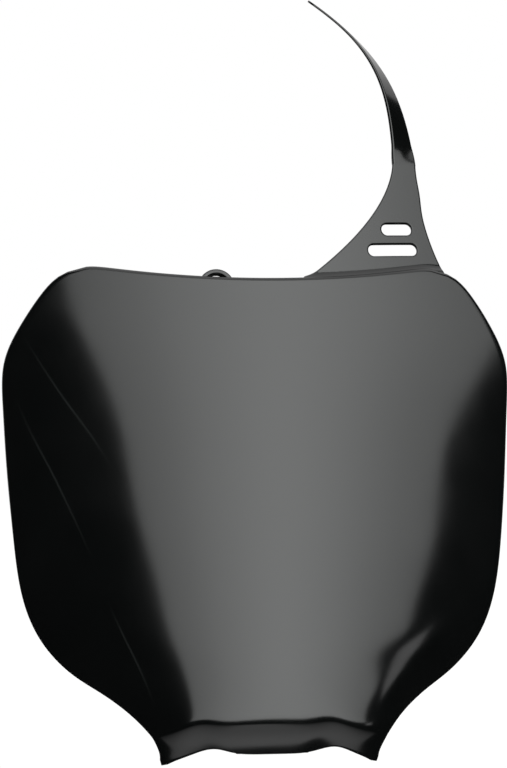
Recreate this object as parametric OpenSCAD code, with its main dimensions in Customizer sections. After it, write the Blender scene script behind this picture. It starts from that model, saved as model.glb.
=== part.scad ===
// Front number plate for a motocross motorcycle, with its moulded strap.
// The plate leans back. X runs across it, Y to the rear and Z up.
// The origin is the top of the lower mounting hole.

/* [Plate] */
// Width across the widest part of the wings.
plate_w = 249; // [180:1:300]
// Height from the ear tips to the top corners, along the plate.
plate_h = 236.4; // [180:0.1:290]
// How far the wings sweep back from the flat centre.
sweep = 36; // [20:0.5:50]
// Extra depth of the lower corners.
elbow = 17; // [5:0.5:24]
// Wall thickness of the moulding.
wall = 3; // [2.2:0.1:4]
// How far the top edge dips at its middle.
top_dip = 9.2; // [4:0.5:16]
// Lean of the mounted plate, in degrees.
lean = 13; // [4:0.5:22]

/* [Skirt] */
// Height of the crease above the ear tips.
crease_h = 13.5; // [10:0.1:20]
// Steepness of the turned-under skirt.
skirt_slope = 1.45; // [0.8:0.05:2]
// Softness of the crease.
crease_r = 1.8; // [1:0.1:4]
// Rise of the two scallops in the bottom edge.
scallop = 3; // [1:0.1:5]
// Distance of each scallop from the middle.
scallop_x = 29.5; // [20:0.5:36]

/* [Strap tab] */
// Distance of the strap from the middle of the plate.
strap_x = 72.8; // [60:0.1:85]
// Height of the tab above the top corners.
tab_h = 51.6; // [40:0.1:65]
// Width of the tab where it meets the plate.
tab_base = 67; // [55:0.5:75]
// Thickness of the tab.
tab_t = 2.6; // [2:0.1:4]
// Step back from the panel to the front of the tab.
set_back = 2.2; // [1.5:0.1:2.6]
// Length of the upper slot.
slot_upper = 15.4; // [10:0.1:18]
// Length of the lower slot.
slot_lower = 25; // [18:0.1:30]
// Height of both slots.
slot_w = 5.8; // [5:0.1:8]
// Distance between the two slots.
slot_pitch = 10.6; // [9:0.1:14]
// How far the slots rise towards the wing, in degrees.
slot_tilt = 4.5; // [0:0.5:10]

/* [Strap] */
// Width of the strap at its root.
strap_w = 12; // [9:0.1:16]
// Width of the strap at its tip.
tip_w = 10; // [7:0.1:14]
// Thickness of the strap at its root.
strap_t = 2; // [1.4:0.1:3]
// Thickness of the strap at its tip.
tip_t = 1; // [0.8:0.1:2.4]
// Gap between two links.
link_gap = 1.2; // [0.6:0.1:2]
// Turn of the strap at its root, in degrees.
root_turn = 19; // [0:1:35]
// Turn of the strap at its tip, in degrees.
tip_turn = 67; // [40:1:90]

/* [Top loop] */
// Distance of the loop from the middle of the plate.
loop_x = 22.2; // [15:0.1:40]
// Outer radius of the loop.
loop_r = 8.7; // [7:0.1:11]
// Thickness of the loop's wall.
loop_wall = 2.4; // [1.5:0.1:3]
// Length of the loop from front to back.
loop_len = 5; // [4:0.1:8]

/* [Lower mount] */
// Diameter of the mounting hole.
mount_d = 6.5; // [5:0.1:10]
// Thickness of the mounting shelf.
mount_t = 3.5; // [2.5:0.1:5]
// Distance of the hole behind the panel.
mount_y = 33; // [28:0.5:45]
// Width of the shelf's rounded end.
mount_w = 24; // [18:0.5:32]

/* [Hidden] */
$fn = 48;
half_w = plate_w / 2;
mid_w = half_w - wall / 2;
links = 10;
// Height of the lowest row, and how far the upper corners sink.
foot = 0.2;
corner_drop = 1;

// Side outline: share of the half width, then share of the height.
SIDE = [[0.413, 0.000], [0.418, 0.017], [0.438, 0.039], [0.470, 0.065], [0.536, 0.102],
        [0.635, 0.144], [0.750, 0.188], [0.860, 0.255], [0.930, 0.348], [0.962, 0.466],
        [0.986, 0.602], [1.000, 0.725], [0.996, 0.815], [0.936, 0.885], [0.859, 0.945],
        [0.782, 0.985], [0.688, 1.000]];
// Curvature of the panel at a share of the height.
CROWN = [[-0.05, 0.30], [0.00, 0.45], [0.05, 1.10], [0.12, 1.70], [0.22, 1.55], [0.32, 1.37],
         [0.47, 1.15], [0.655, 1.00], [0.775, 0.86], [0.835, 0.785], [0.90, 0.72], [1.05, 0.69]];
// Share of the elbow depth at a share of the height.
ELBOW = [[-0.05, 0.20], [0.00, 0.30], [0.05, 0.50], [0.09, 0.60], [0.14, 0.56], [0.175, 0.48],
         [0.22, 0.34], [0.28, 0.15], [0.36, 0.02], [0.50, 0.00], [0.75, 0.00], [1.05, 0.00]];

// Smooth curve through a short list of [position, value] points.
function step_at(p, v, i = 0) = (i >= len(p) - 2 || v < p[i + 1][0]) ? i : step_at(p, v, i + 1);
function rise(p, i) =
    i == 0 ? (p[1][1] - p[0][1]) / (p[1][0] - p[0][0]) :
    i == len(p) - 1 ? (p[i][1] - p[i - 1][1]) / (p[i][0] - p[i - 1][0]) :
    (p[i + 1][1] - p[i - 1][1]) / (p[i + 1][0] - p[i - 1][0]);
function smooth(p, v) =
    let (i = step_at(p, v), h = p[i + 1][0] - p[i][0], t = (v - p[i][0]) / h)
    (2 * t * t * t - 3 * t * t + 1) * p[i][1] + (t * t * t - 2 * t * t + t) * h * rise(p, i)
    + (3 * t * t - 2 * t * t * t) * p[i + 1][1] + (t * t * t - t * t) * h * rise(p, i + 1);

// Side outline at a row number between 0 and the last point.
function side_point(i) = SIDE[max(0, min(len(SIDE) - 1, i))];
function side_at(v) =
    let (i = min(floor(v), len(SIDE) - 2), t = v - i,
         a = i == 0 ? 2 * SIDE[0] - SIDE[1] : side_point(i - 1), b = side_point(i),
         c = side_point(i + 1), d = side_point(i + 2))
    0.5 * (2 * b + (c - a) * t + (2 * a - 5 * b + 4 * c - d) * t * t
    + (3 * b - a - 3 * c + d) * t * t * t);

// Depth behind the flat centre.
function soft(v) = v > 20 ? v : ln(1 + exp(v));
function bump(x, centre, spread) = exp(-pow((abs(x) - centre) / spread, 2));
function crease_at(x) = crease_h + 1.5 * bump(x, 25, 9) - 0.7 * bump(x, 42, 7);
function skirt(x, z) = skirt_slope * crease_r * soft((crease_at(x) - z) / crease_r);
function crown(x, share) = sweep * smooth(CROWN, share) * pow(x / half_w, 2);

// One point of the panel: across share -1 to 1, row v.
function top_curve(a) = -top_dip * (1 - a * a);
function bottom_curve(a) =
    3.2 * (1 - pow(a, 6)) + scallop * bump(a * SIDE[0][0] * half_w, scallop_x, 10);
function panel(a, v) =
    let (s = side_at(v), t = v / (len(SIDE) - 1), x = a * mid_w * s[0],
         z = foot + (plate_h - wall / 2 - foot) * s[1] + pow(1 - t, 6) * bottom_curve(a)
             + t * top_curve(a) - corner_drop * pow(t, 8) * pow(a, 24))
    [x, crown(x, z / plate_h) + elbow * smooth(ELBOW, s[1]) * pow(abs(a), 6) + skirt(x, z), z];

ACROSS = [for (i = [-18:18]) i / 18];
ROWS = [for (v = [0:0.25:4.9]) v, for (v = [5:0.5:16]) v];
nc = len(ACROSS);
nr = len(ROWS);
GRID = [for (v = ROWS) for (a = ACROSS) panel(a, v)];
function clampi(i, n) = max(0, min(n - 1, i));
function at(r, c) = GRID[clampi(r, nr) * nc + clampi(c, nc)];
function unit(v) = v / norm(v);
NORMAL = [for (r = [0:nr - 1]) for (c = [0:nc - 1])
    unit(cross(at(r, c + 1) - at(r, c - 1), at(r + 1, c) - at(r - 1, c)))];

// The border of the grid, once around from the left ear.
LOOP = concat([for (c = [0:nc - 1]) c],
              [for (r = [1:nr - 1]) r * nc + nc - 1],
              [for (c = [nc - 2:-1:0]) (nr - 1) * nc + c],
              [for (r = [nr - 2:-1:1]) r * nc]);
nl = len(LOOP);
ARC = [30, 90, 150];
function edge_point(k, angle) =
    let (i = LOOP[k], n = -NORMAL[i],
         along = GRID[LOOP[(k + 1) % nl]] - GRID[LOOP[(k + nl - 1) % nl]],
         out = unit(cross(NORMAL[i], along)) * -1)
    GRID[i] + n * wall / 2 * (1 - cos(angle)) + out * wall / 2 * sin(angle);
BACK = [for (i = [0:nr * nc - 1]) GRID[i] - NORMAL[i] * wall];
EDGE = [for (angle = ARC) for (k = [0:nl - 1]) edge_point(k, angle)];

// Two triangles for each cell of a strip.
function cell(a, b, c, d) = [[a, b, c], [a, c, d]];
module plate_skin() {
    n = nr * nc;
    front = [for (r = [0:nr - 2]) for (c = [0:nc - 2])
        each cell(r * nc + c, (r + 1) * nc + c, (r + 1) * nc + c + 1, r * nc + c + 1)];
    back = [for (f = front) [f[2] + n, f[1] + n, f[0] + n]];
    rings = concat([LOOP], [for (j = [0:len(ARC) - 1]) [for (k = [0:nl - 1]) 2 * n + j * nl + k]],
                   [[for (i = LOOP) i + n]]);
    rim = [for (j = [0:len(rings) - 2]) for (k = [0:nl - 1]) let (m = (k + 1) % nl)
        each cell(rings[j][k], rings[j][m], rings[j + 1][m], rings[j + 1][k])];
    polyhedron(points = concat(GRID, BACK, EDGE), faces = concat(front, back, rim), convexity = 8);
}

// Place a piece drawn on the upright plate where the mounted plate has it.
mount_drop = mount_t;
module mounted() {
    translate([0, -mount_y, -mount_drop])
        rotate([-lean, 0, 0])
            children();
}

module plate_shell() {
    color([0.02, 0.02, 0.022])
        mounted()
            plate_skin();
}

// The tab stands on the top edge and follows the curve of the panel.
top_share = 0.7;
function tab_depth(x) = sweep * top_share * pow(x / half_w, 2);
slot_z = plate_h + 7.4;
slot_x = strap_x - 7;
tab_left = strap_x - strap_w / 2;
tab_right = strap_x + strap_w / 2;
tab_foot = plate_h - 15;
module tab_outline() {
    base_left = 90.5 - tab_base;
    left = [for (t = [-0.05, each [0:0.1:1]]) [tab_left - (tab_left - base_left) * pow(1 - t, 1.75),
        plate_h - 8 + (tab_h + 8) * t]];
    right = [for (t = [each [1:-0.1:0], -0.05])
        [tab_right + (base_left + tab_base - tab_right) * pow(1 - t, 2.2), plate_h - 1 + (tab_h + 1) * t]];
    polygon(concat([[base_left - 4, tab_foot - 3]], left, right, [[88, plate_h - 8], [72, tab_foot]]));
}
module slot(length, x, z) {
    r = slot_w / 2 - 0.4;
    translate([x, z])
        rotate([0, 0, slot_tilt])
            offset(r = r)
                square([length - 2 * r, slot_w - 2 * r], center = true);
}
module tab_band() {
    xs = [for (x = [16:4:96]) x];
    linear_extrude(height = plate_h + tab_h + 20)
        polygon(concat([for (x = xs) [x, tab_depth(x) + set_back]],
                       [for (i = [len(xs) - 1:-1:0]) [xs[i], tab_depth(xs[i]) + set_back + tab_t]]));
}
module strap_tab() {
    color([0.02, 0.02, 0.022])
        mounted()
            intersection() {
                tab_band();
                translate([0, 60, 0])
                    rotate([90, 0, 0])
                        linear_extrude(height = 80)
                            difference() {
                                tab_outline();
                                slot(slot_upper, slot_x + 1.6, slot_z + slot_pitch);
                                slot(slot_lower, slot_x - 0.8, slot_z);
                            }
            }
}

// Small arch behind the top edge.
module hose_loop() {
    top = plate_h - top_dip + 4.5;
    depth = tab_depth(loop_x) + 1.6;
    color([0.02, 0.02, 0.022])
        mounted()
            translate([-loop_x, depth + loop_len, top - loop_r])
                rotate([90, 0, 0])
                    difference() {
                        union() {
                            cylinder(h = loop_len, r = loop_r);
                            translate([-loop_r, -6, 0])
                                cube([2 * loop_r, 6, loop_len]);
                        }
                        translate([0, 0, -1])
                            cylinder(h = loop_len + 2, r = loop_r - loop_wall);
                        translate([loop_wall - loop_r, -10, -1])
                            cube([2 * (loop_r - loop_wall), 10, loop_len + 2]);
                    }
}

// Shelf behind the skirt, with an upright hole and two ribs.
module lower_mount() {
    root = 16.5 - mount_y;
    color([0.02, 0.02, 0.022])
        difference() {
            union() {
                translate([0, 0, -mount_t])
                    cylinder(h = mount_t, r = mount_w / 2);
                translate([0, 0, -mount_t])
                    linear_extrude(height = mount_t)
                        polygon([[-17, root], [17, root], [mount_w / 2, 0], [-mount_w / 2, 0]]);
                for (x = [-13.5, 10.5])
                    translate([x, 0, 0])
                        rotate([90, 0, 90])
                            linear_extrude(height = 3)
                                polygon([[root - 0.5, -1.5], [root + 15, -1.5], [root + 15, 0],
                                         [root - 6, 12], [root - 9, 8]]);
            }
            translate([0, 0, -mount_t - 1])
                cylinder(h = mount_t + 2, d = mount_d);
        }
}

// The strap: its centre line on the upright plate, then its turned frame.
root_p = [strap_x, plate_h + tab_h];
P1 = root_p + [-2.3, 38.7];
P2 = root_p + [-9.6, 60.2];
P3 = root_p + [-44.7, 85.7];
function line_at(t) = pow(1 - t, 3) * root_p + 3 * pow(1 - t, 2) * t * P1
    + 3 * (1 - t) * t * t * P2 + pow(t, 3) * P3;
function turn_at(t) = root_turn + (tip_turn - root_turn) * (1 - pow(1 - min(1, t / 0.8), 1.5));
strap_d = tab_depth(strap_x) + set_back + tab_t / 2;
module strap_link(i) {
    t0 = (i - 1) / links;
    t1 = i / links;
    p = line_at(t0);
    q = line_at(t1);
    len_i = norm(q - p);
    turn = turn_at((t0 + t1) / 2);
    w = strap_w + (tip_w - strap_w) * (t0 + t1) / 2;
    th = strap_t + (tip_t - strap_t) * (t0 + t1) / 2;
    color([0.02, 0.02, 0.022])
        mounted()
            translate([p[0], strap_d, p[1]])
                rotate([0, atan2(q[0] - p[0], q[1] - p[1]), 0])
                    rotate([0, 0, turn])
                        translate([0, th / 2, link_gap / 2])
                            rotate([90, 0, 0])
                                linear_extrude(height = th)
                                    offset(r = 0.8)
                                        translate([-w / 2 + 0.8, 0.8])
                                            square([w - 1.6, len_i - link_gap - 1.6]);
}
module strap_link_1() strap_link(1);
module strap_link_2() strap_link(2);
module strap_link_3() strap_link(3);
module strap_link_4() strap_link(4);
module strap_link_5() strap_link(5);
module strap_link_6() strap_link(6);
module strap_link_7() strap_link(7);
module strap_link_8() strap_link(8);
module strap_link_9() strap_link(9);
module strap_link_10() strap_link(10);

plate_shell();
strap_tab();
hose_loop();
lower_mount();
strap_link_1();
strap_link_2();
strap_link_3();
strap_link_4();
strap_link_5();
strap_link_6();
strap_link_7();
strap_link_8();
strap_link_9();
strap_link_10();
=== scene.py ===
"""Front number plate of a motocross motorcycle, with its slotted tab and long crossbar strap.

Laid out as an add-on and run as a script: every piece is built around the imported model, in metres.
"""

import math

import bmesh
import bpy
import numpy as np
from bpy.props import FloatProperty, FloatVectorProperty, IntProperty, PointerProperty
from mathutils import Matrix, Vector


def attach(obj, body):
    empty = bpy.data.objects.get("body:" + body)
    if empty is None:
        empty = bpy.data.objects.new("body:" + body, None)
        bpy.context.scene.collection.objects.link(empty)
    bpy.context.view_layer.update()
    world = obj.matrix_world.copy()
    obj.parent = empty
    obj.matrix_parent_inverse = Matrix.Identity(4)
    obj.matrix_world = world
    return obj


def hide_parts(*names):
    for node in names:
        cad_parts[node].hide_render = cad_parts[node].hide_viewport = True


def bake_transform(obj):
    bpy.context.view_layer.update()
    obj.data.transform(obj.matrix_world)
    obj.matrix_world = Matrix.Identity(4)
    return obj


bl_info = {
    "name": "Motocross Number Plate",
    "version": (1, 0, 0),
    "blender": (4, 5, 0),
    "location": "3D View > Sidebar > Number Plate",
    "description": "Builds a moulded front number plate with its slotted tab and crossbar strap",
    "category": "Object",
}

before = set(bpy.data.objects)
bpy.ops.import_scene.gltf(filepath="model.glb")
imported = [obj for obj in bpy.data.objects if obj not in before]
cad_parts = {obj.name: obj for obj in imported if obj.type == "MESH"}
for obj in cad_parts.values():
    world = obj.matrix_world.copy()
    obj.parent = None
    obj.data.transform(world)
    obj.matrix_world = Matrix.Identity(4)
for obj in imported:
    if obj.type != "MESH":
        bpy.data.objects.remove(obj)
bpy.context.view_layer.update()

MM = 0.001
LINKS = 10
# How far the upper corners of the panel sink, so that they turn gently into the sides.
CORNER_DROP = 1 * MM
# How far the ear tips stand above the lowest plane, and how far the edge between them arches up.
EAR_LIFT = 0.2 * MM
FOOT_ARCH = 3.2 * MM
# On the left the crease of the skirt runs further out, in full from this distance from the middle on.
CREASE_OUT_LEFT = 8 * MM
CREASE_OUT_FULL = 22 * MM
# Waves in the crease: rise, distance from the middle and spread, in millimetres.
CREASE_WAVES = ((2.1, 25, 9), (-0.3, 42, 7))
SCALLOP_SPREAD = 10 * MM
# The tab bows back by this share of the panel's sweep.
TAB_BOW = 0.7
# A narrow flat beside each rounded edge, so that the wide face shades evenly.
FLAT = 0.15 * MM

# Side outline of the panel: share of the half width, share of the height.
SIDE = (
    (0.413, 0.000), (0.418, 0.017), (0.438, 0.039), (0.470, 0.065), (0.536, 0.102), (0.635, 0.144),
    (0.750, 0.188), (0.860, 0.255), (0.930, 0.348), (0.962, 0.466), (0.986, 0.602), (1.000, 0.725),
    (0.996, 0.815), (0.936, 0.885), (0.859, 0.945), (0.782, 0.985), (0.688, 1.000),
)
# How strongly the panel curves back, at a share of the height.
CROWN = (
    (-0.05, 0.30), (0.00, 0.45), (0.05, 1.10), (0.12, 1.70), (0.22, 1.55), (0.32, 1.37),
    (0.47, 1.15), (0.655, 1.00), (0.775, 0.86), (0.835, 0.785), (0.90, 0.72), (1.05, 0.69),
)
# Share of the extra sweep of the lower corners, at a share of the height.
ELBOW = (
    (-0.05, 0.20), (0.00, 0.30), (0.05, 0.50), (0.09, 0.60), (0.14, 0.56), (0.175, 0.48), (0.22, 0.34),
    (0.28, 0.15), (0.36, 0.02), (0.50, 0.00), (0.75, 0.00), (1.05, 0.00),
)

# Painted reflection streaks on the left wing, light grey lines mixed into the colour: place across and up in
# millimetres, slant in degrees, length in millimetres.
PAINTED_STREAKS = ((-88, 162, 34, 95), (-95, 128, 26, 95), (-61, 46, 21, 55))
PAINTED_STREAK_WIDTH = 1.6 * MM
PAINTED_STREAK_SHARE = 0.18

# Where the camera stands in metres, its turn about the vertical in degrees, lens and sensor in millimetres.
CAMERA_PLACE = (-0.12041, -0.97020, 0.16670)
CAMERA_TURN = -6.675
CAMERA_LENS = 97.86
CAMERA_SENSOR = 36
# How far the floor and the floor card lie below the frame's zero.
FLOOR_DROP = 60 * MM
CARD_DROP = 50 * MM


def linear(code):
    """Linear RGB of an sRGB hex colour."""
    shares = [int(code[i : i + 2], 16) / 255 for i in (1, 3, 5)]
    return tuple(s / 12.92 if s <= 0.04045 else ((s + 0.055) / 1.055) ** 2.4 for s in shares)


def length(name, description, millimetres):
    """A length setting, given in millimetres and kept in metres."""
    return FloatProperty(
        name=name, description=description, default=millimetres * MM, precision=5, unit="LENGTH"
    )


def angle(name, description, degrees):
    """An angle setting, given in degrees and kept in radians."""
    return FloatProperty(
        name=name, description=description, default=math.radians(degrees), subtype="ANGLE"
    )


def colour(name, description, code):
    """A colour setting, given as an sRGB hex value."""
    return FloatVectorProperty(
        name=name, description=description, default=linear(code), size=3, subtype="COLOR"
    )


class PanelSizes(bpy.types.PropertyGroup):
    """The curved panel and how it leans on its mount."""

    width: length("Width", "Across the swept wings", 249)
    height: length("Height", "From the ear tips to the top edge", 236.4)
    wall: length("Wall", "Thickness of the moulding", 3)
    sweep: length("Sweep", "How far the wings curve back", 36)
    elbow: length("Elbow", "Extra sweep of the lower corners", 17)
    top_dip: length("Top dip", "How far the top edge sinks at its middle", 9.2)
    lean: angle("Lean", "Backward lean of the mounted plate", 13)
    crease_height: length("Crease height", "Where the skirt turns under", 12.9)
    crease_radius: length("Crease softness", "How gently the skirt turns under", 1.8)
    skirt_slope: FloatProperty(
        name="Skirt slope", description="Depth of the skirt for its height", default=1.45
    )
    scallop: length("Scallop", "Rise of the two finger scallops in the lower edge", 3.0)
    scallop_x: length("Scallop place", "Distance of each scallop from the middle", 29.5)
    rim_front: length("Front rim", "Radius of the rounded front edge", 2.2)
    columns: IntProperty(name="Columns", description="Cells across the panel", default=124)
    rows: IntProperty(name="Rows", description="Cells up the panel", default=150)


class TabSizes(bpy.types.PropertyGroup):
    """The slotted tab on the top edge."""

    strap_x: length("Strap place", "Distance of the strap from the middle", 72.8)
    height: length("Height", "From the top edge to the root of the strap", 51.6)
    base: length("Base", "Width where the tab leaves the panel", 67)
    thickness: length("Thickness", "Front to back", 2.6)
    set_back: length("Set-back", "Depth of its face behind the panel's face", 2.2)
    slot_upper: length("Upper slot", "Length of the upper slot", 15.4)
    slot_lower: length("Lower slot", "Length of the lower slot", 25)
    slot_width: length("Slot width", "Height of each slot", 5.8)
    slot_pitch: length("Slot pitch", "Distance between the slots", 10.6)
    slot_tilt: angle("Slot tilt", "Rise of the slots towards the wing", 4.5)
    edge: length("Edge radius", "Rounding of the moulded edges", 0.8)
    fillet: length("Fillet", "How far the foot of the tab comes forward on to the rim", 1.5)


class StrapSizes(bpy.types.PropertyGroup):
    """The long strap that wraps round the handlebar crossbar."""

    width: length("Width", "At the root", 12)
    tip_width: length("Tip width", "At the tip", 10)
    thickness: length("Thickness", "At the root", 2)
    tip_thickness: length("Tip thickness", "At the tip", 1.0)
    root_turn: angle("Root turn", "Turn of the strap at its root", 19)
    tip_turn: angle("Tip turn", "Turn of the strap at its tip", 67)
    steps: IntProperty(name="Steps", description="Sections along each link", default=20)


class LoopSizes(bpy.types.PropertyGroup):
    """The small arch behind the top edge."""

    x: length("Place", "Distance from the middle", 22.2)
    radius: length("Radius", "Outer radius of the arch", 8.7)
    wall: length("Wall", "Thickness of the arch", 2.4)
    depth: length("Depth", "Front to back", 5)


class MountSizes(bpy.types.PropertyGroup):
    """The shelf behind the skirt."""

    hole: length("Hole", "Diameter of the upright hole", 6.5)
    thickness: length("Thickness", "Of the shelf", 3.5)
    reach: length("Reach", "From the panel's face to the hole", 33)
    width: length("Width", "Across the rounded end", 24)
    rib: length("Rib", "Thickness of each rib", 3)


class Finish(bpy.types.PropertyGroup):
    """Colours of the moulding."""

    plastic: colour("Plastic", "Body colour of the black polypropylene", "#040505")
    cloud: colour("Plastic, lighter", "Where the pigment is a little thinner", "#080909")
    # Painted reflection: a light grey mixed into the colour in streaks on the left wing.
    painted_streak: colour("Scuff", "Soft marks from handling", "#3a3d3c")


class Studio(bpy.types.PropertyGroup):
    """Strength of each light surface."""

    softbox: FloatProperty(name="Softbox", description="Radiance of the front softbox", default=4.2)
    backdrop: FloatProperty(name="Backdrop", description="Radiance of the white backdrop", default=0.75)
    ceiling: FloatProperty(name="Ceiling", description="Radiance of the soft light overhead", default=1.4)
    card: FloatProperty(name="Card", description="Radiance of the white card below", default=1.02)
    low_card: FloatProperty(name="Low card", description="Radiance of the right card", default=1.5)
    floor: FloatProperty(name="Floor", description="Radiance of the pale floor", default=1.05)
    room: FloatProperty(name="Room", description="Radiance of the dark room", default=0.01)


class PlateSettings(bpy.types.PropertyGroup):
    """All the settings of the number plate."""

    panel: PointerProperty(type=PanelSizes)
    tab: PointerProperty(type=TabSizes)
    strap: PointerProperty(type=StrapSizes)
    loop: PointerProperty(type=LoopSizes)
    mount: PointerProperty(type=MountSizes)
    finish: PointerProperty(type=Finish)
    studio: PointerProperty(type=Studio)


def settings():
    """The scene's settings."""
    return bpy.context.scene.number_plate


# ---------------------------------------------------------------- shapes


def spline(places, values):
    """Natural cubic spline through the values at the places, as a function of a number or an array."""
    x, y = np.array(places, float), np.array(values, float)
    h = np.diff(x)
    size = len(x)
    system, right = np.eye(size), np.zeros(size)
    for i in range(1, size - 1):
        system[i, i - 1 : i + 2] = h[i - 1], 2 * (h[i - 1] + h[i]), h[i]
        right[i] = 6 * ((y[i + 1] - y[i]) / h[i] - (y[i] - y[i - 1]) / h[i - 1])
    bend = np.linalg.solve(system, right)

    def value(v):
        i = np.clip(np.searchsorted(x, v) - 1, 0, size - 2)
        a, b = (x[i + 1] - v) / h[i], (v - x[i]) / h[i]
        curve = (a**3 - a) * bend[i] + (b**3 - b) * bend[i + 1]
        return a * y[i] + b * y[i + 1] + curve * h[i] ** 2 / 6

    return value


def ease(v, low, high):
    """Smooth step from 0 at low to 1 at high."""
    t = np.clip((v - low) / (high - low), 0, 1)
    return t * t * (3 - 2 * t)


def bump(x, centre, spread):
    """A pair of bell curves, one each side of the middle."""
    return np.exp(-(((np.abs(x) - centre) / spread) ** 2))


class PanelShape:
    """The front face of the upright panel: x across, y depth behind the middle, z height from its foot."""

    def __init__(self, sizes):
        self.s = sizes
        self.half = sizes.width / 2
        self.inset = sizes.rim_front - sizes.wall / 2
        self.last_row = len(SIDE) - 1
        self.side_x = spline(range(len(SIDE)), [p[0] for p in SIDE])
        self.side_z = spline(range(len(SIDE)), [p[1] for p in SIDE])
        self.crown = spline(*zip(*CROWN))
        self.elbow = spline(*zip(*ELBOW))

    def skirt(self, x, z):
        """Depth that the skirt adds below its softly rounded crease."""
        s = self.s
        across = np.abs(x) - CREASE_OUT_LEFT * ease(-x, 0, CREASE_OUT_FULL)
        crease = s.crease_height
        for rise, place, spread in CREASE_WAVES:
            crease = crease + rise * MM * bump(across, place * MM, spread * MM)
        return s.skirt_slope * s.crease_radius * np.logaddexp(0, (crease - z) / s.crease_radius)

    def bottom(self, a):
        """Rise of the lower edge between the ear tips, with its two scallops."""
        s = self.s
        x = a * SIDE[0][0] * self.half
        return FOOT_ARCH * (1 - a**6) + s.scallop * bump(x, s.scallop_x, SCALLOP_SPREAD)

    def point(self, a, row):
        """Points for a share across, from -1 to 1, and a row of the side outline."""
        s = self.s
        share, t = self.side_z(row), row / self.last_row
        x = a * ((self.half - s.wall / 2) * self.side_x(row) - self.inset)
        # The rounded rim reaches below the slanted ear tips of the face by part of its inset.
        low = EAR_LIFT + 0.57 * self.inset
        z = low + (s.height - s.wall / 2 - self.inset - low) * share
        z = z + (1 - t) ** 6 * self.bottom(a) - t * s.top_dip * (1 - a * a) - CORNER_DROP * t**8 * a**24
        y = s.sweep * self.crown(z / s.height) * (x / self.half) ** 2
        y = y + s.elbow * self.elbow(share) * np.abs(a) ** 6 + self.skirt(x, z)
        return np.stack((x, y, z), -1)

    def normal(self, a, row):
        """Unit normals that point forward, out of the face."""
        step = 1e-3
        across = self.point(a + step, row) - self.point(a - step, row)
        up = self.point(a, row + step) - self.point(a, row - step)
        n = np.cross(across, up)
        return n / np.linalg.norm(n, axis=-1, keepdims=True)

    def rows(self, count):
        """Row numbers for the grid lines: close together at the crease, wider above it."""
        row = np.linspace(0, self.last_row, 3000)
        z = self.side_z(row) * self.s.height
        spacing = 0.55 + 1.45 * ease(z, 22 * MM, 45 * MM)
        # The small term keeps the travel rising where the outline runs level.
        travel = np.concatenate(([0], np.cumsum(np.diff(z) / spacing[1:] + 1e-7)))
        return np.interp(np.linspace(0, travel[-1], count + 1), travel, row)


def tab_depth(x):
    """Depth of the tab's curve behind the middle of the panel."""
    p = settings().panel
    return p.sweep * TAB_BOW * (x / (p.width / 2)) ** 2


def rim_top(x):
    """Height of the panel's top rim."""
    p = settings().panel
    a = min(1, abs(x) / (p.width / 2 * SIDE[-1][0]))
    return p.height - p.top_dip * (1 - a * a) - CORNER_DROP * a**24


def mounted():
    """Matrix from the upright plate to where the mounted plate leans."""
    s = settings()
    place = Matrix.Translation((0, -s.mount.reach, -s.mount.thickness))
    return place @ Matrix.Rotation(-s.panel.lean, 4, "X")


# ---------------------------------------------------------------- mesh helpers


def ordered_ring(edges):
    """The vertices of one closed run of edges, in order."""
    left = set(edges[1:])
    ring = list(edges[0].verts)
    while left:
        edge = next((e for e in ring[-1].link_edges if e in left), None)
        if edge is None:
            break
        left.discard(edge)
        ring.append(edge.other_vert(ring[-1]))
    return ring[:-1]


def ring_edges(bm, ring):
    """The edges between neighbours in a closed ring of vertices."""
    return [bm.edges.get((ring[k - 1], ring[k])) for k in range(len(ring))]


def extrude_ring(bm, ring, places):
    """Extrudes a closed ring to new places and returns the new ring in the same order."""
    made = bmesh.ops.extrude_edge_only(bm, edges=ring_edges(bm, ring))["geom"]
    new = {g for g in made if isinstance(g, bmesh.types.BMVert)}
    after = [next(e.other_vert(v) for e in v.link_edges if e.other_vert(v) in new) for v in ring]
    for vert, place in zip(after, places):
        vert.co = place
    return after


def close_ring(bm, ring):
    """Fills a ring with one flat face inside crisp edges."""
    edges = ring_edges(bm, ring)
    for face in bmesh.ops.edgeloop_fill(bm, edges=edges)["faces"]:
        face.smooth = False
    for edge in edges:
        edge.smooth = False


def rounded_quad(bm, width, height, radius, place):
    """A ring of edges round a rounded rectangle in the XY plane."""
    scale = Matrix.Diagonal((width, height, 1, 1))
    quad = bmesh.ops.create_grid(bm, x_segments=1, y_segments=1, size=0.5, matrix=place @ scale)["verts"]
    made = bmesh.ops.bevel(
        bm, geom=quad, affect="VERTICES", offset=radius, segments=6, profile=0.5, material=-1
    )
    edges = list({e for v in made["verts"] for e in v.link_edges})
    edges.sort(key=lambda e: e.index)
    faces = list({f for e in edges for f in e.link_faces})
    bmesh.ops.delete(bm, geom=faces, context="FACES_ONLY")
    return edges


def outline(bm, points):
    """A closed run of edges through points in the XY plane."""
    verts = [bm.verts.new((p[0], p[1], 0)) for p in points]
    return [bm.edges.new((verts[k - 1], verts[k])) for k in range(len(verts))]


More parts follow.
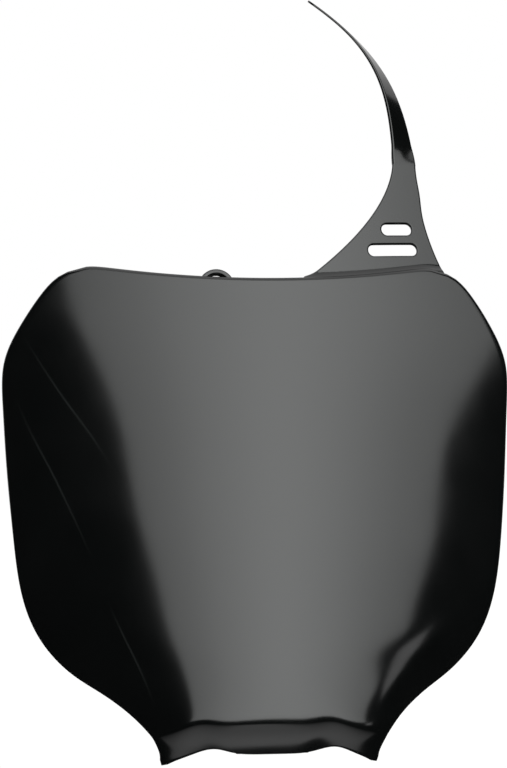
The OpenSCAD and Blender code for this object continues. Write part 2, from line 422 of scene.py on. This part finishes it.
def rounded_slab(bm, thickness, radius, steps=4):
    """Fills the outlines in bm, whose inner ones are holes, and gives them thickness and rounded edges."""
    bmesh.ops.triangle_fill(bm, use_beauty=True, edges=bm.edges[:], normal=(0, 0, 1))
    faces = bm.faces[:]
    moved = bmesh.ops.extrude_face_region(bm, geom=faces, use_keep_orig=True)["geom"]
    verts = [g for g in moved if isinstance(g, bmesh.types.BMVert)]
    bmesh.ops.translate(bm, verts=verts, vec=(0, 0, thickness - 2 * radius))
    bmesh.ops.translate(bm, verts=bm.verts[:], vec=(0, 0, radius))
    bmesh.ops.recalc_face_normals(bm, faces=bm.faces[:])
    turns = [math.pi / 2 * k / steps for k in range(steps + 1)]
    for side in (1, -1):
        skin = [f for f in bm.faces if f.normal.z * side > 0.9]
        for low, high in zip(turns, turns[1:]):
            bmesh.ops.inset_region(
                bm, faces=skin, use_boundary=True, use_even_offset=True,
                thickness=radius * (math.cos(low) - math.cos(high)),
                depth=radius * (math.sin(high) - math.sin(low)),
            )
        bmesh.ops.inset_region(
            bm, faces=skin, use_boundary=True, use_even_offset=True, thickness=FLAT, depth=0
        )


def slice_at(bm, axis, places):
    """Cuts every face along planes across one axis, so that it can bend."""
    for place in places:
        point, direction = Vector(), Vector()
        point[axis], direction[axis] = place, 1
        geom = bm.verts[:] + bm.edges[:] + bm.faces[:]
        bmesh.ops.bisect_plane(bm, geom=geom, dist=1e-6, plane_co=point, plane_no=direction)


def finish_piece(name, bm, materials, matrix=None):
    """Makes the mesh object of a piece, with its faces outwards and its place in its mesh."""
    if matrix is not None:
        bmesh.ops.transform(bm, matrix=matrix, verts=bm.verts[:])
    if bm.calc_volume(signed=True) < 0:
        bmesh.ops.reverse_faces(bm, faces=bm.faces[:])
    mesh = bpy.data.meshes.new(name)
    bm.to_mesh(mesh)
    bm.free()
    for material in materials:
        mesh.materials.append(material)
    piece = bpy.data.objects.new(name, mesh)
    bpy.context.scene.collection.objects.link(piece)
    return piece


def smooth_all(bm):
    """Marks every face smooth."""
    for face in bm.faces:
        face.smooth = True


# ---------------------------------------------------------------- materials


def add_node(tree, kind, options=None, **inputs):
    """Adds a node, sets its options and sets or links its inputs by name or number."""
    node = tree.nodes.new(kind)
    for key, value in (options or {}).items():
        setattr(node, key, value)
    for key, value in inputs.items():
        socket = node.inputs[int(key[1:]) if key[0] == "i" and key[1:].isdigit() else key.replace("_", " ")]
        if isinstance(value, bpy.types.NodeSocket):
            tree.links.new(value, socket)
        else:
            socket.default_value = value
    return node


def new_material(name):
    """An empty node material and its tree."""
    material = bpy.data.materials.new(name)
    material.use_nodes = True
    material.node_tree.nodes.clear()
    return material, material.node_tree


def gloss_polypropylene():
    """Black polypropylene moulded against a polished cavity: a deep gloss with faint flow waves,
    slightly uneven gloss, cloudy pigment and three painted reflection streaks on the left wing."""
    found = bpy.data.materials.get("polypropylene_gloss_black")
    if found:
        return found
    finish = settings().finish
    material, tree = new_material("polypropylene_gloss_black")
    place = add_node(tree, "ShaderNodeTexCoord").outputs["Object"]
    # Flow waves about 18 mm long, a hundredth of a millimetre high.
    waves = add_node(tree, "ShaderNodeTexNoise", Vector=place, Scale=1 / (18 * MM), Detail=1.0)
    # Pigment clouds about 30 mm across.
    clouds = add_node(tree, "ShaderNodeTexNoise", Vector=place, Scale=1 / (30 * MM), Detail=3.0)
    # Drift that bends the painted reflection streaks by up to 9 mm over about 60 mm.
    drift = add_node(tree, "ShaderNodeTexNoise", Vector=place, Scale=1 / (60 * MM), Detail=0.0)
    shift = add_node(
        tree, "ShaderNodeVectorMath", {"operation": "SCALE"}, i0=drift.outputs["Color"], Scale=9 * MM
    )
    wobble = add_node(tree, "ShaderNodeVectorMath", {"operation": "ADD"}, i0=place, i1=shift.outputs[0])
    # Each painted reflection streak is a long faint light line that fades to its sides and ends.
    streaks = None
    for x, z, lean, size in PAINTED_STREAKS:
        turn = math.radians(lean)
        across, along = (math.cos(turn), 0, math.sin(turn)), (-math.sin(turn), 0, math.cos(turn))
        centre = (x * MM, 0, z * MM)
        offset = add_node(
            tree, "ShaderNodeVectorMath", {"operation": "SUBTRACT"}, i0=wobble.outputs[0], i1=centre
        )
        fades = []
        for direction, reach in ((across, PAINTED_STREAK_WIDTH / 2), (along, size * MM / 2)):
            run = add_node(
                tree, "ShaderNodeVectorMath", {"operation": "DOT_PRODUCT"}, i0=offset.outputs[0], i1=direction
            )
            distance = add_node(tree, "ShaderNodeMath", {"operation": "ABSOLUTE"}, i0=run.outputs["Value"])
            fades.append(add_node(
                tree, "ShaderNodeMapRange", {"interpolation_type": "SMOOTHSTEP"},
                Value=distance.outputs[0], From_Min=0.0, From_Max=reach, To_Min=1.0, To_Max=0.0,
            ))
        streak = add_node(
            tree, "ShaderNodeMath", {"operation": "MULTIPLY"}, i0=fades[0].outputs[0], i1=fades[1].outputs[0]
        )
        streaks = streak if streaks is None else add_node(
            tree, "ShaderNodeMath", {"operation": "ADD"}, i0=streaks.outputs[0], i1=streak.outputs[0]
        )
    base = add_node(
        tree, "ShaderNodeMix", {"data_type": "RGBA"},
        i0=clouds.outputs["Fac"], i6=(*finish.plastic, 1), i7=(*finish.cloud, 1),
    )
    # Painted reflection: the streaks lighten the colour towards this grey.
    faint = add_node(tree, "ShaderNodeMath", {"operation": "MULTIPLY"}, i0=streaks.outputs[0], i1=PAINTED_STREAK_SHARE)
    tint = add_node(
        tree, "ShaderNodeMix", {"data_type": "RGBA"},
        i0=faint.outputs[0], i6=base.outputs[2], i7=(*finish.painted_streak, 1),
    )
    gloss = add_node(
        tree, "ShaderNodeMapRange",
        Value=clouds.outputs["Fac"], From_Min=0.3, From_Max=0.7, To_Min=0.12, To_Max=0.16,
    )
    relief = add_node(
        tree, "ShaderNodeBump", Strength=0.6, Distance=0.02 * MM, Height=waves.outputs["Fac"]
    )
    shader = add_node(
        tree, "ShaderNodeBsdfPrincipled", Base_Color=tint.outputs[2], Roughness=gloss.outputs[0],
        IOR=1.5, Normal=relief.outputs[0],
    )
    add_node(tree, "ShaderNodeOutputMaterial", Surface=shader.outputs[0])
    return material


def satin_polypropylene():
    """The same polypropylene against the spark-eroded core of the mould: a satin back with a fine grain."""
    found = bpy.data.materials.get("polypropylene_satin_back")
    if found:
        return found
    finish = settings().finish
    material, tree = new_material("polypropylene_satin_back")
    place = add_node(tree, "ShaderNodeTexCoord").outputs["Object"]
    # The real grain is 0.1 mm; drawn at 0.5 mm so that it shows.
    grain = add_node(tree, "ShaderNodeTexNoise", Vector=place, Scale=1 / (0.5 * MM), Detail=2.0)
    clouds = add_node(tree, "ShaderNodeTexNoise", Vector=place, Scale=1 / (35 * MM), Detail=3.0)
    base = add_node(
        tree, "ShaderNodeMix", {"data_type": "RGBA"},
        i0=clouds.outputs["Fac"], i6=(*finish.plastic, 1), i7=(*finish.cloud, 1),
    )
    rough = add_node(
        tree, "ShaderNodeMapRange",
        Value=clouds.outputs["Fac"], From_Min=0.3, From_Max=0.7, To_Min=0.36, To_Max=0.44,
    )
    relief = add_node(tree, "ShaderNodeBump", Strength=0.35, Distance=0.05 * MM, Height=grain.outputs["Fac"])
    shader = add_node(
        tree, "ShaderNodeBsdfPrincipled", Base_Color=base.outputs[2], Roughness=rough.outputs[0],
        IOR=1.5, Normal=relief.outputs[0],
    )
    add_node(tree, "ShaderNodeOutputMaterial", Surface=shader.outputs[0])
    return material


def glow(name, colour_code, strength, across=None, up=None):
    """Light of one colour. across and up fade it along the surface's X and Z, as (place, share) stops."""
    material, tree = new_material(name)
    level = strength
    if across:
        place = add_node(tree, "ShaderNodeTexCoord").outputs["Object"]
        parts = add_node(tree, "ShaderNodeSeparateXYZ", Vector=place)
        shares = []
        for output, stops in ((0, across), (2, up)):
            low, high = stops[0][0], stops[-1][0]
            share = add_node(
                tree, "ShaderNodeMapRange",
                Value=parts.outputs[output], From_Min=low, From_Max=high, To_Min=0.0, To_Max=1.0,
            )
            ramp = add_node(tree, "ShaderNodeValToRGB", Fac=share.outputs[0])
            ramp.color_ramp.interpolation = "B_SPLINE"
            while len(ramp.color_ramp.elements) < len(stops):
                ramp.color_ramp.elements.new(0.5)
            for element, (where, value) in zip(ramp.color_ramp.elements, stops):
                element.position = (where - low) / (high - low)
                element.color = (value, value, value, 1)
            shares.append(ramp.outputs[0])
        product = add_node(tree, "ShaderNodeMath", {"operation": "MULTIPLY"}, i0=shares[0], i1=shares[1])
        level = add_node(
            tree, "ShaderNodeMath", {"operation": "MULTIPLY"}, i0=product.outputs[0], i1=strength
        ).outputs[0]
    light = add_node(tree, "ShaderNodeEmission", Color=(*linear(colour_code), 1), Strength=level)
    add_node(tree, "ShaderNodeOutputMaterial", Surface=light.outputs[0])
    return material


# ---------------------------------------------------------------- pieces


class NUMBERPLATE_OT_panel(bpy.types.Operator):
    """Build the curved panel with its rounded rim"""

    bl_idname = "number_plate.panel"
    bl_label = "Panel"

    def execute(self, context):
        s = settings().panel
        shape = PanelShape(s)
        bm = bmesh.new()
        bmesh.ops.create_grid(bm, x_segments=s.columns, y_segments=s.rows, size=1)
        flat = np.array([v.co for v in bm.verts])
        across = flat[:, 0]
        row = shape.rows(s.rows)[np.rint((flat[:, 1] + 1) / 2 * s.rows).astype(int)]
        front, normal = shape.point(across, row), shape.normal(across, row)
        for vert, place in zip(bm.verts, front):
            vert.co = place
        smooth_all(bm)
        bm.verts.index_update()
        border = ordered_ring([e for e in bm.edges if e.is_boundary])
        index = [v.index for v in border]

        skin = bm.verts[:] + bm.edges[:] + bm.faces[:]
        vert_map = bmesh.ops.duplicate(bm, geom=skin)["vert_map"]
        back = {v.index: vert_map[v] for v in bm.verts[: len(front)]}
        for i, vert in back.items():
            vert.co = front[i] - normal[i] * s.wall
        back_faces = list({f for v in back.values() for f in v.link_faces})
        for face in back_faces:
            face.material_index = 1

        # Out of the face at its border, square to the edge, and longer at a corner, which keeps it crisp.
        edge, up = front[index], normal[index]
        before, after = edge - np.roll(edge, 1, 0), np.roll(edge, -1, 0) - edge
        before /= np.linalg.norm(before, axis=1, keepdims=True)
        after /= np.linalg.norm(after, axis=1, keepdims=True)
        out = np.cross(before + after, up)
        out /= np.linalg.norm(out, axis=1, keepdims=True)
        out *= np.sign(np.sum(out * (edge - edge.mean(0)), axis=1).sum())
        half_turn = np.sqrt(np.clip((1 + np.sum(before * after, axis=1)) / 2, 0.55, 1))
        out /= half_turn[:, None]

        front_radius, back_radius = s.rim_front, s.wall - s.rim_front
        profile = []
        for turn in np.radians(np.linspace(0, 90, 9)[1:]):
            profile.append((front_radius * math.sin(turn), front_radius * (1 - math.cos(turn))))
        for turn in np.radians(np.linspace(0, 90, 5)[1:]):
            outward = front_radius - back_radius * (1 - math.cos(turn))
            profile.append((outward, front_radius + back_radius * math.sin(turn)))
        ring = border
        for outward, behind in profile:
            ring = extrude_ring(bm, ring, edge + out * outward - up * behind)
        ring = extrude_ring(bm, ring, [back[i].co for i in index])
        bmesh.ops.weld_verts(bm, targetmap={v: back[i] for v, i in zip(ring, index)})
        smooth_all(bm)
        bmesh.ops.recalc_face_normals(bm, faces=bm.faces[:])
        materials = [gloss_polypropylene(), satin_polypropylene()]
        piece = finish_piece("number_plate_panel", bm, materials, mounted())
        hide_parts("plate_shell")
        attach(piece, "plate")
        return {"FINISHED"}


def tab_outline(bm):
    """The tab's outline and its two slots, in the XY plane. It runs past its top, where it is cut later."""
    p, s, strap = settings().panel, settings().tab, settings().strap
    top, foot, right_end = p.height + s.height, p.height - 15 * MM, s.strap_x + 17.7 * MM
    left_edge, right_edge = s.strap_x - strap.width / 2, s.strap_x + strap.width / 2
    left_end = right_end - s.base
    points = [(left_end - 4 * MM, foot - 3 * MM)]
    # The left edge sweeps down and runs out along the rim of the panel, never past the foot's left end.
    reach, furthest, start = 3.5 * MM, left_end - 4 * MM, p.height - 8 * MM
    for t in np.linspace(-0.05, 1, 64):
        x = left_edge - (left_edge - left_end) * (1 - t) ** 1.75 - 0.85 * MM * (1 - max(0, t) ** 4)
        z = start + (top - start) * t
        run_out = min(1, max(0, 1 - (z - rim_top(x)) / reach))
        points.append((max(x - reach * run_out**2, furthest), z))
    points += [(left_edge, top + 3 * MM), (right_edge, top + 3 * MM)]
    # The right edge flares to the wing, with a slight swell three quarters up.
    start = p.height - MM
    for t in np.linspace(1, -0.05, 31):
        x = right_edge + (right_end - right_edge) * (1 - t) ** 2.2 + 0.9 * MM * bump(t, 0.72, 0.16)
        points.append((x, start + (top - start) * t))
    points += [(right_end - 2.5 * MM, p.height - 8 * MM), (right_end - 18.5 * MM, foot)]
    outline(bm, points)
    lower_x, lower_y = s.strap_x - 7.8 * MM, p.height + 7.4 * MM
    upper_x, upper_y = s.strap_x - 5.4 * MM, lower_y + s.slot_pitch
    for size, x, y in ((s.slot_upper, upper_x, upper_y), (s.slot_lower, lower_x, lower_y)):
        place = Matrix.Translation((x, y, 0)) @ Matrix.Rotation(s.slot_tilt, 4, "Z")
        rounded_quad(bm, size, s.slot_width, s.slot_width / 2 - 0.1 * MM, place)
    return top


class NUMBERPLATE_OT_tab(bpy.types.Operator):
    """Build the slotted tab that stands on the top edge"""

    bl_idname = "number_plate.tab"
    bl_label = "Tab"

    def execute(self, context):
        p, s = settings().panel, settings().tab
        bm = bmesh.new()
        top = tab_outline(bm)
        rounded_slab(bm, s.thickness, s.edge)
        geom = bm.verts[:] + bm.edges[:] + bm.faces[:]
        bmesh.ops.bisect_plane(
            bm, geom=geom, dist=1e-6, plane_co=(0, top, 0), plane_no=(0, 1, 0), clear_outer=True
        )
        # Close cuts across, for the bow, and at the foot, for the fillet.
        slice_at(bm, 0, np.arange(20, 95, 1.5) * MM)
        slice_at(bm, 1, p.height + np.arange(-12, 6, 0.6) * MM)
        smooth_all(bm)
        close_ring(bm, ordered_ring([e for e in bm.edges if e.is_boundary]))
        fillet_foot, fillet_height = -0.7 * MM, 3.7 * MM
        for vert in bm.verts:
            x, z, y = vert.co
            # A hollow fillet brings the foot of the face forward on to the rim, and fades out behind it.
            above = z - rim_top(x)
            share = min(1, max(0, (above - fillet_foot) / fillet_height))
            fillet = (1 - share) ** 2.2 * ease(above, -6 * MM, -2 * MM)
            forward = s.fillet * fillet * y / s.thickness
            vert.co = (x, tab_depth(x) + s.set_back + s.thickness - y - forward, z)
        bmesh.ops.recalc_face_normals(bm, faces=bm.faces[:])
        piece = finish_piece("slotted_tab", bm, [gloss_polypropylene()], mounted())
        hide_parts("strap_tab")
        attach(piece, "plate")
        return {"FINISHED"}


class NUMBERPLATE_OT_loop(bpy.types.Operator):
    """Build the small arch behind the top edge"""

    bl_idname = "number_plate.loop"
    bl_label = "Loop"

    def execute(self, context):
        p, s = settings().panel, settings().loop
        corner, leg, rise, behind = 0.8 * MM, 6 * MM, 4.5 * MM, 1.6 * MM
        bm = bmesh.new()
        place = Matrix.Translation((s.wall / 2 - s.radius, s.depth / 2, 0))
        edges = rounded_quad(bm, s.wall, s.depth, corner, place)
        first = ordered_ring(edges)
        spun = bmesh.ops.spin(
            bm, geom=first + edges, cent=(0, 0, 0), axis=(0, 1, 0), angle=math.pi, steps=32,
            use_merge=False, use_duplicate=False,
        )["geom_last"]
        last = ordered_ring([g for g in spun if isinstance(g, bmesh.types.BMEdge)])
        for ring in (first, last):
            ring = extrude_ring(bm, ring, [v.co - Vector((0, 0, leg)) for v in ring])
            close_ring(bm, ring)
        for face in bm.faces:
            face.smooth = len(face.verts) == 4
        bmesh.ops.recalc_face_normals(bm, faces=bm.faces[:])
        top = p.height - p.top_dip + rise
        place = Matrix.Translation((-s.x, tab_depth(s.x) + behind, top - s.radius))
        piece = finish_piece("hose_guide_loop", bm, [gloss_polypropylene()], mounted() @ place)
        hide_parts("hose_loop")
        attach(piece, "plate")
        return {"FINISHED"}


class NUMBERPLATE_OT_mount(bpy.types.Operator):
    """Build the shelf behind the skirt, with its hole and ribs"""

    bl_idname = "number_plate.mount"
    bl_label = "Lower mount"

    def execute(self, context):
        s = settings().mount
        # The shelf's root lies in the skirt, 16.5 mm behind the panel's face, and is wider than its end.
        root, half_root, end = 16.5 * MM - s.reach, 17 * MM, s.width / 2
        bm = bmesh.new()
        arc = [(end * math.cos(t), end * math.sin(t)) for t in np.linspace(0, math.pi, 33)]
        outline(bm, [(half_root, root)] + arc + [(-half_root, root)])
        bmesh.ops.create_circle(bm, segments=48, radius=s.hole / 2, cap_ends=False)
        rounded_slab(bm, s.thickness, 0.7 * MM)
        bmesh.ops.translate(bm, verts=bm.verts[:], vec=(0, 0, -s.thickness))
        smooth_all(bm)
        shelf = finish_piece("lower_mount_shelf", bm, [satin_polypropylene()])
        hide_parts("lower_mount")
        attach(shelf, "plate")

        # Each rib rises from the shelf to the back of the skirt, and sinks a little into both.
        sunk, back_end, spread = -1.5 * MM, root + 15 * MM, 12 * MM
        for side, x in (("left", -spread - s.rib / 2), ("right", spread - s.rib / 2)):
            bm = bmesh.new()
            outline(bm, [
                (root - 0.5 * MM, sunk), (back_end, sunk), (back_end, 0),
                (root - 6 * MM, 12 * MM), (root - 9 * MM, 8 * MM),
            ])
            rounded_slab(bm, s.rib, 0.6 * MM)
            smooth_all(bm)
            # Stands the flat rib up across the plate.
            turn = Matrix(((0, 0, 1, x), (1, 0, 0, 0), (0, 1, 0, 0), (0, 0, 0, 1)))
            rib = finish_piece(f"lower_mount_rib_{side}", bm, [satin_polypropylene()], turn)
            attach(rib, "plate")
        return {"FINISHED"}


class StrapLine:
    """The centre line of the strap on the upright plate, with its turned sections."""

    def __init__(self):
        p, tab = settings().panel, settings().tab
        self.s = settings().strap
        root = np.array((tab.strap_x, p.height + tab.height))
        self.knots = [root + np.array(k) * MM for k in ((0, 0), (-2.3, 38.7), (-9.6, 60.2), (-44.7, 85.7))]
        self.depth = tab_depth(tab.strap_x) + tab.set_back + tab.thickness / 2
        # The tab's curve is a parabola, so its slope is twice its depth over its distance.
        self.tab_turn = math.atan(2 * tab_depth(tab.strap_x) / tab.strap_x)
        self.tab_thickness = tab.thickness

    def centre(self, t):
        """Point of the line at a share of its run."""
        a, b, c, d = self.knots
        x, z = (1 - t) ** 3 * a + 3 * (1 - t) ** 2 * t * b + 3 * (1 - t) * t * t * c + t**3 * d
        return Vector((x, self.depth, z))

    def section(self, t):
        """Matrix, width and thickness of a section. The first is the tab's top, and the tip is rounded."""
        s = self.s
        ahead = self.centre(t + 1e-3) - self.centre(t - 1e-3)
        tilt = math.atan2(ahead.x, ahead.z) * ease(t, -0.02, 0.1)
        turn = s.root_turn + (s.tip_turn - s.root_turn) * (1 - (1 - min(1, max(0, t) / 0.8)) ** 1.5)
        from_tab = 1 - ease(t, 0, 0.1)
        turn += (self.tab_turn - turn) * from_tab
        width = (s.width + (s.tip_width - s.width) * t) / (1 + (math.cos(self.tab_turn) - 1) * from_tab)
        thick = s.thickness + (s.tip_thickness - s.thickness) * t
        thick += (self.tab_thickness * math.cos(self.tab_turn) - thick) * from_tab
        tip = max(0, 1 - (1 - t) / 0.035)
        width *= math.sqrt(1 - 0.85 * tip**2)
        turned = Matrix.Rotation(tilt, 4, "Y") @ Matrix.Rotation(turn, 4, "Z")
        return Matrix.Translation(self.centre(t)) @ turned, width, thick

    def ring(self, t):
        """Places round one section: flat faces with rounded edges."""
        matrix, width, thick = self.section(t)
        radius = thick * 0.36
        places = []
        flat_x, flat_y = width / 2 - radius, thick / 2 - radius
        for corner, (sx, sy) in enumerate(((1, 1), (-1, 1), (-1, -1), (1, -1))):
            for k in range(5):
                turn = math.radians(90 * corner + 90 * k / 4)
                x, y = sx * flat_x + radius * math.cos(turn), sy * flat_y + radius * math.sin(turn)
                places.append((x, y))
            if corner % 2 == 0:
                inner = flat_x - FLAT
                for share in np.linspace(1, -1, 6):
                    places.append((sx * inner * share, sy * thick / 2))
        return [matrix @ Vector((x, y, 0)) for x, y in places]


class NUMBERPLATE_OT_strap(bpy.types.Operator):
    """Build the strap as closed runs along its centre line; only the last run is attached to its link"""

    bl_idname = "number_plate.strap"
    bl_label = "Strap"

    def execute(self, context):
        s = settings().strap
        line, place = StrapLine(), mounted()
        stops = [0] + [(k + 0.5) / LINKS for k in range(LINKS)] + [1]
        bodies = ["plate"] + [f"strap_{k + 1}" for k in range(LINKS)]
        for k in range(LINKS + 1):
            low, high = stops[k], stops[k + 1]
            steps = max(6, round(s.steps * (high - low) * LINKS))
            shares = np.linspace(low, high, steps + 1)
            if k == LINKS:
                shares = 1 - (1 - low) * (1 - np.linspace(0, 1, 2 * steps + 1)) ** 1.6
            bm = bmesh.new()
            first = line.ring(float(shares[0]))
            ring = bmesh.ops.create_circle(bm, segments=len(first), radius=MM, cap_ends=False)["verts"]
            for vert, co in zip(ring, first):
                vert.co = co
            start = ring
            for t in shares[1:]:
                ring = extrude_ring(bm, ring, line.ring(float(t)))
            smooth_all(bm)
            close_ring(bm, start)
            close_ring(bm, ring)
            bmesh.ops.recalc_face_normals(bm, faces=bm.faces[:])
            piece = finish_piece(f"strap_run_{k + 1:02d}", bm, [gloss_polypropylene()], place)
            if k > 0:
                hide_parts(f"strap_link_{k}")
            if k == LINKS:
                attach(piece, bodies[k])
                continue
            a, b = place @ line.centre(low), place @ line.centre(high)
            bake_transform(piece)
        return {"FINISHED"}


# ---------------------------------------------------------------- stage


def light_surface(name, material, width, height, matrix, shown, slant=0.0):
    """A flat light surface in its own XZ plane, outside the object. slant moves its foot along X."""
    bm = bmesh.new()
    upright = Matrix.Rotation(math.radians(90), 4, "X")
    scale = Matrix.Diagonal((width, height, 1, 1))
    shear = Matrix(((1, 0, -slant, 0), (0, 1, 0, 0), (0, 0, 1, 0), (0, 0, 0, 1)))
    bmesh.ops.create_grid(bm, x_segments=8, y_segments=8, size=0.5, matrix=shear @ upright @ scale)
    mesh = bpy.data.meshes.new(name)
    bm.to_mesh(mesh)
    bm.free()
    mesh.materials.append(material)
    surface = bpy.data.objects.new(name, mesh)
    surface.matrix_world = matrix
    surface.visible_camera = shown
    surface.visible_shadow = False
    bpy.context.scene.collection.objects.link(surface)
    return surface


class NUMBERPLATE_OT_stage(bpy.types.Operator):
    """Set the camera, the soft light and the pale floor"""

    bl_idname = "number_plate.stage"
    bl_label = "Stage"

    def execute(self, context):
        studio = settings().studio
        scene = context.scene
        scene.view_settings.view_transform = "Standard"

        camera_data = bpy.data.cameras.new("camera")
        camera_data.lens = CAMERA_LENS
        camera_data.sensor_width = CAMERA_SENSOR
        camera = bpy.data.objects.new("camera", camera_data)
        camera.location = CAMERA_PLACE
        camera.rotation_euler = (math.radians(90), 0, math.radians(CAMERA_TURN))
        scene.collection.objects.link(camera)
        scene.camera = camera

        # The front softbox is brightest a little left of its middle and fades to its ends.
        across = (
            (-1.62, 0.46), (-1.42, 0.53), (-1.19, 0.62), (-0.98, 0.76), (-0.69, 0.90), (-0.40, 1.00),
            (-0.12, 0.94), (0.20, 0.82), (0.52, 0.69), (0.90, 0.58), (1.62, 0.46),
        )
        up = ((-0.7, 1.02), (-0.3, 1.0), (0.7, 1.0))
        softbox = glow("softbox_glow", "#fdfffe", studio.softbox, across, up)
        softbox_place = Matrix.Translation((0.64, -1.3, 0.885))
        light_surface("softbox", softbox, 3.24, 1.33, softbox_place, False, slant=0.21)
        backdrop = glow("backdrop_glow", "#ffffff", studio.backdrop)
        light_surface("backdrop", backdrop, 4.0, 2.5, Matrix.Translation((0, 1.1, 1.2)), False)
        flat = Matrix.Rotation(math.radians(-90), 4, "X")
        ceiling = glow("ceiling_glow", "#ffffff", studio.ceiling)
        light_surface("ceiling", ceiling, 2.4, 2.2, Matrix.Translation((0.3, -0.2, 1.7)) @ flat, False)

        # A card in front of the foot and below it lights the turned-under skirt, most in its middle.
        card_across = ((-0.13, 0.0), (-0.07, 0.65), (-0.03, 1.0), (0.03, 1.0), (0.07, 0.65), (0.13, 0.0))
        card = glow("card_glow", "#ffffff", studio.card, card_across, ((-0.28, 1.0), (0.28, 1.0)))
        card_place = Matrix.Translation((0, -0.3, -CARD_DROP)) @ flat
        light_surface("floor_card", card, 0.26, 0.56, card_place, False)

        # A low card on the right fills the lower right corner of the panel.
        low = glow("low_card_glow", "#ffffff", studio.low_card)
        low_place = Matrix.Translation((0.79, -0.355, -0.008)) @ Matrix.Rotation(math.radians(66), 4, "Z")
        light_surface("low_card", low, 0.154, 0.09, low_place, False)

        # The floor shows to the camera and isn't mirrored in the gloss.
        pale = glow("floor_glow", "#fdfdfc", studio.floor)
        floor = light_surface("floor", pale, 6.0, 6.0, Matrix.Translation((0, 0, -FLOOR_DROP)) @ flat, True)
        floor.visible_glossy = False

        # The camera sees white behind everything, and the gloss mirrors a dark room.
        world = bpy.data.worlds.new("room")
        scene.world = world
        world.use_nodes = True
        tree = world.node_tree
        tree.nodes.clear()
        seen = add_node(tree, "ShaderNodeLightPath").outputs["Is Camera Ray"]
        dark = add_node(tree, "ShaderNodeBackground", Color=(1, 1, 1, 1), Strength=studio.room)
        white = add_node(tree, "ShaderNodeBackground", Color=(1, 1, 1, 1), Strength=1.0)
        mix = add_node(tree, "ShaderNodeMixShader", i0=seen, i1=dark.outputs[0], i2=white.outputs[0])
        add_node(tree, "ShaderNodeOutputWorld", Surface=mix.outputs[0])
        return {"FINISHED"}


OPERATORS = (
    NUMBERPLATE_OT_panel,
    NUMBERPLATE_OT_tab,
    NUMBERPLATE_OT_loop,
    NUMBERPLATE_OT_mount,
    NUMBERPLATE_OT_strap,
    NUMBERPLATE_OT_stage,
)


class NUMBERPLATE_PT_build(bpy.types.Panel):
    """Lists the pieces of the number plate"""

    bl_idname = "NUMBERPLATE_PT_build"
    bl_label = "Number Plate"
    bl_space_type = "VIEW_3D"
    bl_region_type = "UI"
    bl_category = "Number Plate"

    def draw(self, context):
        for operator in OPERATORS:
            self.layout.operator(operator.bl_idname)
        plate = context.scene.number_plate
        for part in ("panel", "tab", "strap", "loop", "mount", "finish", "studio"):
            group = getattr(plate, part)
            box = self.layout.box()
            for name in group.bl_rna.properties.keys():
                if name not in ("rna_type", "name"):
                    box.prop(group, name)


CLASSES = (
    PanelSizes, TabSizes, StrapSizes, LoopSizes, MountSizes, Finish, Studio, PlateSettings,
    *OPERATORS, NUMBERPLATE_PT_build,
)


def register():
    for cls in CLASSES:
        bpy.utils.register_class(cls)
    bpy.types.Scene.number_plate = PointerProperty(type=PlateSettings)


def unregister():
    del bpy.types.Scene.number_plate
    for cls in reversed(CLASSES):
        bpy.utils.unregister_class(cls)


def main():
    register()
    bpy.ops.number_plate.panel()
    bpy.ops.number_plate.tab()
    bpy.ops.number_plate.loop()
    bpy.ops.number_plate.mount()
    bpy.ops.number_plate.strap()
    bpy.ops.number_plate.stage()


if __name__ == "__main__":
    main()
